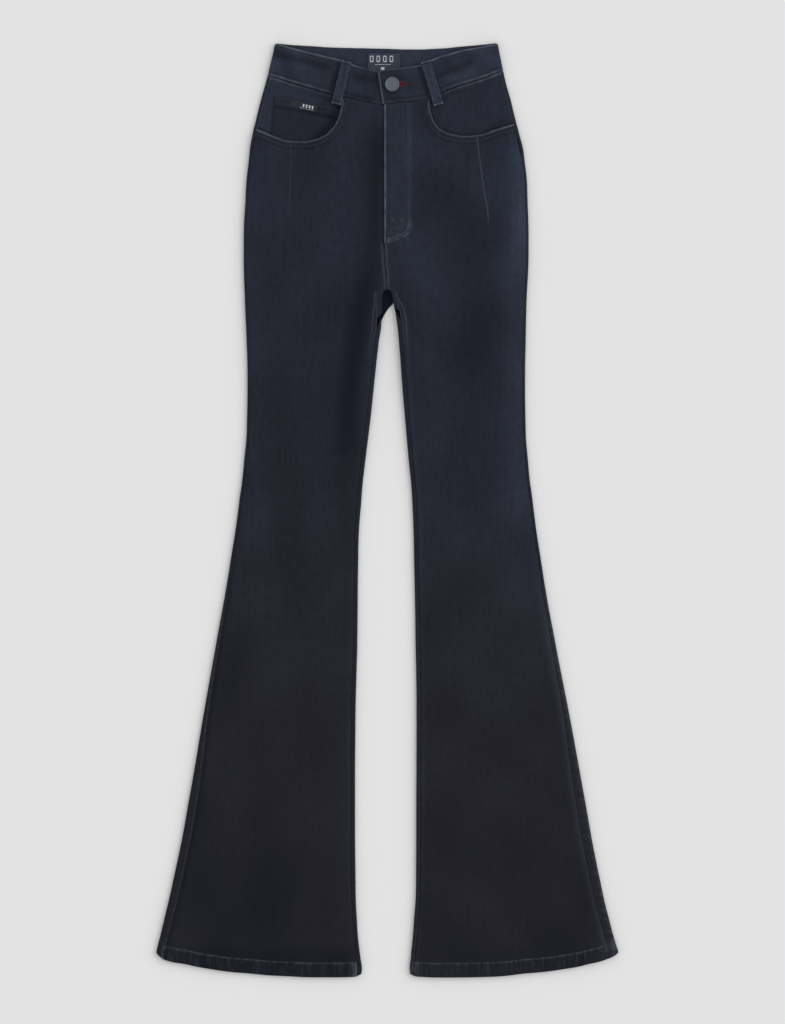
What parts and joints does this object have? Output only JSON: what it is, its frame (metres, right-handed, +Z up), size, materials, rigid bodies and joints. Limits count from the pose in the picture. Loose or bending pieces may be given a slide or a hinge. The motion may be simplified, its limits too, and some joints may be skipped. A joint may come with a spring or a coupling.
{
  "type": "bootcut jeans laid flat",
  "caption": "High-waisted bootcut jeans in dark denim, laid flat and face up, with scooped front pockets, a buttoned fly and flared, hemmed legs.",
  "frame": {"origin": "middle of the garment's outline on the surface that it lies on", "axes": "+X towards the wearer's left, +Y from the hems towards the waist, +Z up out of the front, the face that is seen"},
  "size_m": [0.5545, 1.1216, 0.0122],
  "materials": {
    "denim": "blue-black twill denim with a faint sheen, washed lighter along seams and edges",
    "label": "black woven label",
    "button_metal": "dull dark grey metal"
  },
  "bodies": {
    "root": {"front_right": "denim", "front_left": "denim", "back_right": "denim", "back_left": "denim", "pocket_facing_right": "denim", "pocket_facing_left": "denim", "coin_pocket": "denim", "coin_pocket_label": "label", "waistband": "denim", "waist_label": "label", "belt_loop_right": "denim", "belt_loop_left": "denim", "button": "button_metal"}
  },
  "joints": []
}
